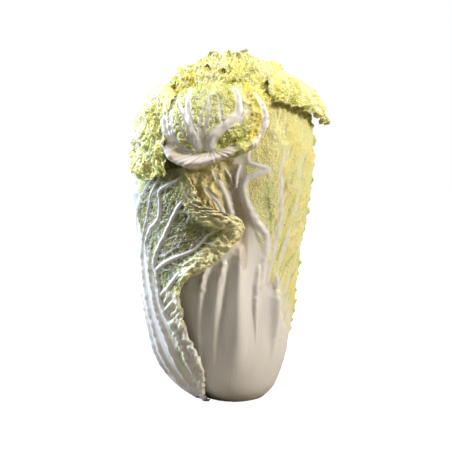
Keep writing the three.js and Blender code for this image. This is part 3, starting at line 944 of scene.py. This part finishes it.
def plain_wrapper(place, rows, seed, open_right):
    """A wrapper round the side or the back, with its right margin tucked in or open and frilled."""
    s = Sheet(rows, 150, 230)
    edge = margin_distance(s.points)
    wobble = 2.5 * noise(s.x / 9, s.y / 9, seed)
    half = np.interp(s.y, (0, 60, 110, 160, 210, 260, 310), (60, 44, 31, 20, 11, 6, 2))
    band = ramp(-4, 4, half - np.abs(s.x) + wobble)
    height, vein, away = veined(s.x, s.y, pinnate(seed, 88, 25, 44, 8, 4.2), seed + 1, 9, 14, 1.3)
    corrugated = np.cos(s.x * 2 * math.pi / 11.0 + 1.2 * noise(s.x / 30, s.y / 70, seed + 1))
    white = np.maximum(band, vein)
    relief, fine = tissue(s, seed + 2, white, 1.0, cell=5.0, swell=-0.7, crumple=2.0, wave=18)
    relief -= (1 - band) * sunken(away, 1.2, 3.5)
    grooved = band * corrugated * ramp(300, 120, s.y) * ramp(0, 12, half - np.abs(s.x))
    relief += 0.8 * height + 0.8 * grooved
    wave, slides = frill(s, edge, seed + 3, 18, 4.5, 12)
    open_side = open_right * ramp(0.5, 0.8, s.u)
    top = ramp(225, 255, s.y)
    bulge = np.exp(-(((s.azimuth + 90) / 14) ** 2) - ((s.up - 192) / 26) ** 2)
    white = np.maximum(white, ramp(0.25, 0.6, bulge))
    relief += 5.0 * bulge
    relief += wave * np.maximum(open_side * ramp(40, 90, s.y), top)
    tone = 0.58 + 0.18 * ramp(14, 2, edge) + 0.12 * noise(s.x / 40, s.y / 40, seed + 5)
    brown = np.maximum(rim_brown(s, edge, seed + 6), 0.6 * bulge * ramp(3, 1, edge))
    masks = paint(s, white, tone, fine, brown)
    make_leaf(place, "outer_leaf", s, relief, thickness(s, band, edge), masks, slides)


def folded_leaf():
    """The leaf folded over at the top of the front: a turned lip, and ribs that fan out from its navel."""
    s = Sheet(FOLDED, 190, 250, 0.36)
    edge = margin_distance(s.points)
    shown = ramp(200, 208, s.up)
    height, vein, away = veined(s.arc, s.up, seen(FOLDED_RIBS), 31, 6, 9, 1.2)
    roll, pale, _ = drawn(s, LIP)
    arm = ramp(-34, -40, s.arc)
    turned = ramp(0.43, 0.47, s.v) * ramp(0.61, 0.57, s.v) * ramp(12, 4, s.arc)
    pale = np.maximum(pale * arm, turned)
    white = np.maximum(vein, pale)
    relief, fine = tissue(s, 32, white, shown, cell=4.0, swell=0.8, crumple=1.4, wave=12)
    navel_arc, navel_up = -10, 232
    turn = np.arctan2(s.arc - navel_arc, s.up - navel_up)
    reach = np.hypot(s.arc - navel_arc, s.up - navel_up)
    gathers = folded(turn * 2.6, reach / 22, 33) * ramp(4, 14, reach) * ramp(60, 30, reach)
    yellow = ramp(14, 22, s.arc + 0.1 * (s.up - 240)) * ramp(222, 232, s.up)
    relief += shown * (1.2 * height * (1 - turned) + 0.9 * roll * arm)
    relief += shown * (1 - white) * (2.8 * gathers * (1 - yellow) - sunken(away, 2.2, 3.0))
    stripes = noise(turn * 9, reach / 30, 34)
    relief += shown * 0.7 * pale * stripes
    crumpled = folded(s.arc / 10, s.up / 13, 38)
    relief += yellow * (1 - 0.4 * vein) * 3.4 * crumpled
    wave, slides = frill(s, edge, 36, 12, 3.5, 7)
    relief += shown * wave * ramp(0.75, 0.95, s.v)
    # Painted shade: where the blade is yellow, the hollows of its crumples are painted a deeper yellow.
    tone = 0.66 - 0.34 * yellow - 0.16 * ramp(0, -0.6, crumpled) * yellow
    tone += 0.16 * ramp(1.5, 5.0, away)
    stain = 0.34 * pale * ramp(0.0, 0.6, stripes) + 0.24 * pale
    masks = paint(s, white, tone, fine, np.maximum(rim_brown(s, edge, 39, 0.2), stain))
    make_leaf("folded_top", "inner_leaf", s, relief, thickness(s, white * 0.3, edge), masks, slides)


def loose_leaf(place, slot, rows, seed, start, tone, height, lump):
    """A thin blistered leaf, plain up to start, where other leaves hide it, and frilled at its free end."""
    s = Sheet(rows, 180, 270, 0.5)
    edge = margin_distance(s.points)
    shown = ramp(start, start + 25, s.y)
    groove, vein, _ = veined(s.x, s.y, pinnate(seed, start - 60, 22, 40, 8, 2.2), seed + 1, 8, 13, 1.0)
    half = np.interp(s.y, (0, start - 40, start), (30, 14, 0))
    white = np.maximum(ramp(-3, 3, half - np.abs(s.x)), 0.6 * vein)
    relief, fine = tissue(s, seed + 2, 0.5 * white, shown, cell=4.0, swell=1.1, crumple=0.8 * lump, wave=13)
    crumpled = folded(s.x / 15, s.y / 20, seed + 4, 4)
    relief += shown * (lump * 1.3 * crumpled - 0.7 * groove)
    wave, slides = frill(s, edge, seed + 3, 20, height, 9)
    relief += shown * wave
    # Painted shade: the tone runs deeper yellow in the hollows of the relief and paler on its crests.
    high = ramp(-2.5, 2.5, relief)
    shade = tone + 0.16 * ramp(7, 1, edge) + 0.30 * (high - 0.5)
    shade += 0.10 * noise(s.x / 25, s.y / 25, seed + 5)
    fringed = np.maximum(white * 0.9, 0.3 * ramp(1.8, 0.4, edge))
    masks = paint(s, fringed, shade, fine * 0.5, rim_brown(s, edge, seed + 6, 0.1))
    make_leaf(place, slot, s, relief, thickness(s, white * 0.1, edge), masks, 1.6 * slides)


def heart():
    """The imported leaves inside, as one crumpled body that shows through the gaps in the crown."""
    inset, swell, foot, top, apex = 13.5, 7.5, 34.0, 330.0, 345.0
    wide, tall = 200, 200
    up = np.linspace(foot, top, tall)[:, None] * np.ones((1, wide))
    azimuth = np.ones((tall, 1)) * np.linspace(0, 360, wide, endpoint=False)
    cos, sin = np.cos(np.radians(azimuth)), np.sin(np.radians(azimuth))
    x, y = 20 * cos, 20 * sin
    folds = rough(x / 9 + up / 90, y / 9, 61, 4) + 0.6 * noise(x / 3, y / 3 + up / 25, 63)
    reach = (350 - up) / 11
    packed = folded(reach * cos, reach * sin, 65)
    risen = (swell + 3.0 * packed) * ramp(260, 315, up)
    points = on_head(azimuth, up, risen - inset + 2.2 * folds)
    low = np.array([[0.0, 0.0, 19.0]])
    high = on_head(np.array([0.0]), np.array([apex]), np.array([swell - inset]))
    index = np.arange(tall * wide).reshape(tall, wide)
    first = np.arange(0, wide, 2)
    second, third = (first + 1) % wide, (first + 2) % wide
    bottom = fan(tall * wide, index[0][third], index[0][second], index[0][first])
    cap = fan(tall * wide + 1, index[-1][first], index[-1][second], index[-1][third])
    everything = np.concatenate([ring_quads(index), bottom, cap])
    points = np.concatenate([points.reshape(-1, 3), low, high])
    round_share = np.append(azimuth.ravel() / 360, (0.5, 0.5))
    up_share = np.append((up.ravel() - foot) / (top - foot), (0, 1))
    corner = np.stack([0.02 + 0.96 * round_share, 0.02 + 0.96 * up_share], -1)[everything]
    past_seam = corner[..., 0].max(1, keepdims=True) - corner[..., 0] > 0.5
    corner[..., 0] = np.where(past_seam, 0.98, corner[..., 0])
    full = np.ones(len(points))
    places = [np.append(azimuth.ravel(), (0, 0)), np.append(up.ravel(), (foot, top)), full * 0]
    where = np.stack(places, -1)
    masks = {"leaf": where, "white": full * 0.05, "tone": full * 0.26, "fine": full * 0.1, "brown": full * 0}
    made = object_from("leaf_heart", points, everything, corner.reshape(-1, 2), masks)
    finish_piece(made, "heart_leaves", "heart_leaf")


def butt():
    """The cut stem: a rough pale disc with a browned, ragged rim."""
    wide, tall = 120, 40
    low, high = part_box("stem_butt")
    radius = (high.x - low.x) / 2 / SCALE
    height = (high.z - low.z) / SCALE
    turn = np.linspace(0, 2 * math.pi, wide, endpoint=False)[None, :]
    share = np.linspace(0, 1, tall)[:, None]
    stops, row = (0, 0.5, 0.55, 0.8, 1), np.ones((1, wide))
    r = radius * np.interp(share, stops, (0.02, 0.98, 1.0, 0.96, 0.05)) * row
    z = height * np.interp(share, stops, (0, 0, 0.05, 0.7, 1)) * row
    x, y = r * np.cos(turn), r * np.sin(turn)
    z = z + 0.35 * (1 + rough(x / 6, y / 6, 71, 4)) * (z < 0.5)
    points = np.stack([x, y, z], -1).reshape(-1, 3)
    index = np.arange(tall * wide).reshape(tall, wide)
    first = np.arange(2, wide - 2, 2)
    bottom = fan(index[0, 0], index[0][first], index[0][first + 1], index[0][first + 2])
    cap = fan(index[-1, 0], index[-1][first + 2], index[-1][first + 1], index[-1][first])
    everything = np.concatenate([ring_quads(index)[:, TURNED], bottom, cap])
    size = 0.45 / radius
    corner = np.stack([0.5 + size * points[:, 0], 0.5 + size * points[:, 1]], -1)[everything]
    full = np.ones(len(points))
    ring = r.ravel() / radius
    spots = ramp(0.2, 0.5, rough(points[:, 0] / 7, points[:, 1] / 7, 73))
    brown = np.maximum(0.6 * ramp(0.80, 1.0, ring), 0.25 * spots)
    masks = {"leaf": points, "white": full, "tone": full * 0.4, "fine": full * 0, "brown": brown}
    made = object_from("stem_cut", points, everything, corner.reshape(-1, 2), masks)
    finish_piece(made, "stem_butt", "stem")


left_wrapper()
front_wrapper()
plain_wrapper("right_wrapper", wrapper_rows(104, -6.5, 1, 286), 201, True)
plain_wrapper("back_wrapper", wrapper_rows(172, -6.5, 1, 291), 231, True)
plain_wrapper("left_back_wrapper", wrapper_rows(-116, -6.5, -6, 278), 261, False)
folded_leaf()
loose_leaf("right_flap", "inner_leaf", RIGHT_FLAP, 301, 265, 0.42, 4.5, 2.8)
loose_leaf("left_flap", "inner_leaf", LEFT_FLAP, 331, 255, 0.42, 4.5, 3.0)
for place, (centre, half, tip, rise), seed, tone in CROWN:
    loose_leaf(f"crown_{place}", "crown_leaf", crown_rows(centre, half, tip, rise), seed, 235, tone, 6.0, 3.0)
heart()
butt()

# ---- The set: floor, light and camera ----

FLOOR_GAP = -0.0004  # just under the object, metres
MIDDLE = (0, 0, 0.16)  # what the lights face
LIGHTS = [  # name, place, size, watts, colour
    ("left_cool", (-1.1, 0.30, 0.65), (0.3, 0.8), 36, (0.64, 0.77, 1.0)),
    ("left_fill", (-0.8, -0.8, 0.9), (0.3, 0.3), 0.7, (0.95, 0.97, 1.0)),
    ("right_warm", (1.0, -0.50, 0.72), (0.25, 0.4), 14.5, (1.0, 0.96, 0.90)),
    ("back_right", (0.8, 0.9, 0.9), (0.5, 0.5), 9, (1.0, 0.97, 0.9)),
    ("top", (-0.15, -0.30, 1.15), (0.25, 0.25), 6.5, (1.0, 0.97, 0.90)),
]
WORLD_LIT = 0.03  # what the white world gives to the object
CAMERA_AIM, CAMERA_RISE, CAMERA_AWAY = Vector((-0.002, 0, 0.150)), math.radians(6), 1.10


def seen_white(tree, lit, white):
    """Strength of a light that looks white to the camera and lights the object only softly."""
    path = tree.nodes.new("ShaderNodeLightPath")
    blend = tree.nodes.new("ShaderNodeMapRange")
    blend.inputs["To Min"].default_value = lit
    blend.inputs["To Max"].default_value = white
    tree.links.new(path.outputs["Is Camera Ray"], blend.inputs["Value"])
    return blend.outputs[0]


def floor():
    mesh = bpy.data.meshes.new("floor")
    size = 6.0
    corners = [(-size, -size, 0), (size, -size, 0), (size, size, 0), (-size, size, 0)]
    mesh.from_pydata(corners, [], [(0, 1, 2, 3)])
    made = linked("floor", mesh)
    g = Graph("floor_white")
    g.shader.inputs["Base Color"].default_value = (0.25, 0.22, 0.175, 1)
    g.shader.inputs["Roughness"].default_value = 0.9
    g.shader.inputs["Emission Color"].default_value = (1, 1, 1, 1)
    g.put(g.shader.inputs["Emission Strength"], seen_white(g.material.node_tree, 0.0, 1.0))
    made.data.materials.append(g.material)
    made.location.z = FLOOR_GAP


def light(name, place, size, power, colour):
    data = bpy.data.lights.new(name, "AREA")
    data.shape = "RECTANGLE"
    data.size, data.size_y = size
    data.energy = power
    data.color = colour
    made = linked(name, data)
    made.location = place
    made.rotation_euler = (Vector(MIDDLE) - Vector(place)).to_track_quat("-Z", "Y").to_euler()


def white_world():
    world = bpy.data.worlds.new("studio")
    bpy.context.scene.world = world
    world.use_nodes = True
    background = world.node_tree.nodes["Background"]
    background.inputs["Color"].default_value = (1.0, 1.0, 1.0, 1)
    strength = seen_white(world.node_tree, WORLD_LIT, 1.0)
    world.node_tree.links.new(strength, background.inputs["Strength"])


def camera():
    data = bpy.data.cameras.new("camera")
    data.lens = 100
    data.sensor_width = 36
    eye = linked("camera", data)
    towards = Vector((0, -math.cos(CAMERA_RISE), math.sin(CAMERA_RISE)))
    eye.location = CAMERA_AIM + CAMERA_AWAY * towards
    eye.rotation_euler = (CAMERA_AIM - eye.location).to_track_quat("-Z", "Y").to_euler()
    bpy.context.scene.camera = eye


floor()
for setup in LIGHTS:
    light(*setup)
white_world()
camera()

bpy.context.scene.view_settings.view_transform = "Standard"
